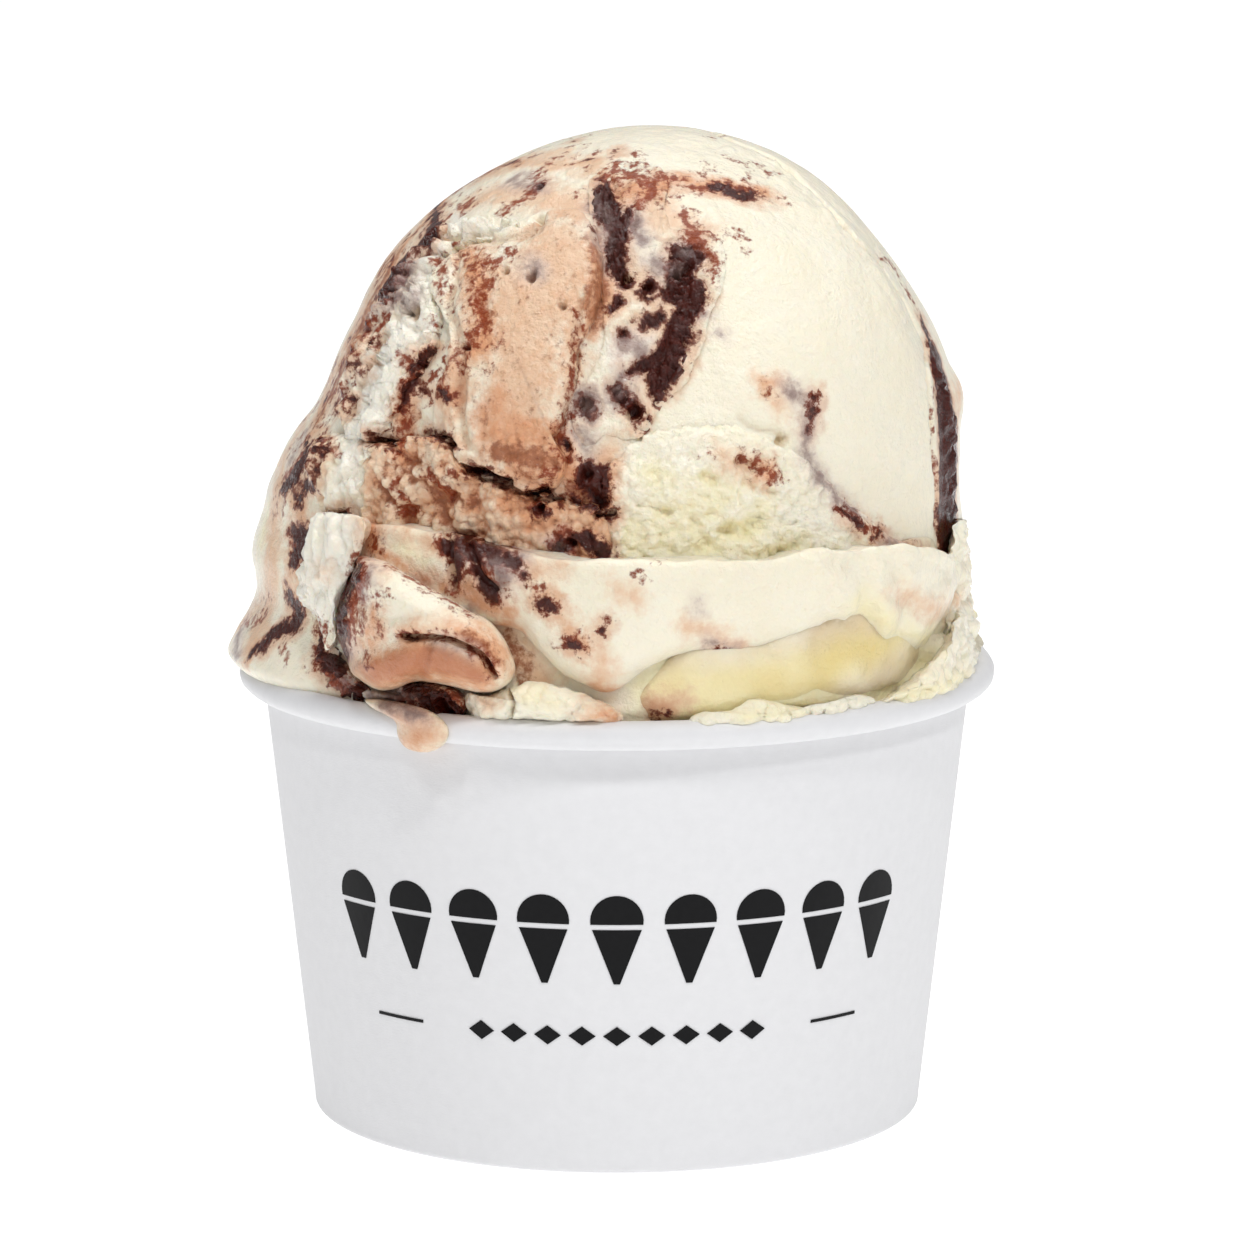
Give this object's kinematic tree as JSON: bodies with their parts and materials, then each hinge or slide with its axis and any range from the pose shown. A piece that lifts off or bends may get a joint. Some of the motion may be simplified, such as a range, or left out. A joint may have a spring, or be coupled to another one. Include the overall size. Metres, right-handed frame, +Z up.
{
  "type": "gelato cup",
  "caption": "Heaped gelato in a low paperboard cup: a smooth spatula-worked dome with chocolate marbling, a folded skirt with a curled tongue round its foot, and a drip over the rolled rim.",
  "frame": {"origin": "centre of the cup's bottom, on the plane of the foot that the cup stands on", "axes": "+Z up along the cup's axis; -Y towards the viewer of the picture, the front of the cup; +X to the right as seen from the front"},
  "size_m": [0.0872, 0.0881, 0.1122],
  "materials": {
    "paperboard": "satin",
    "print_ink": "satin",
    "gelato": "satin"
  },
  "bodies": {
    "root": {"cup_wall": "paperboard", "cup_base": "paperboard", "gelato": "gelato"}
  },
  "joints": []
}
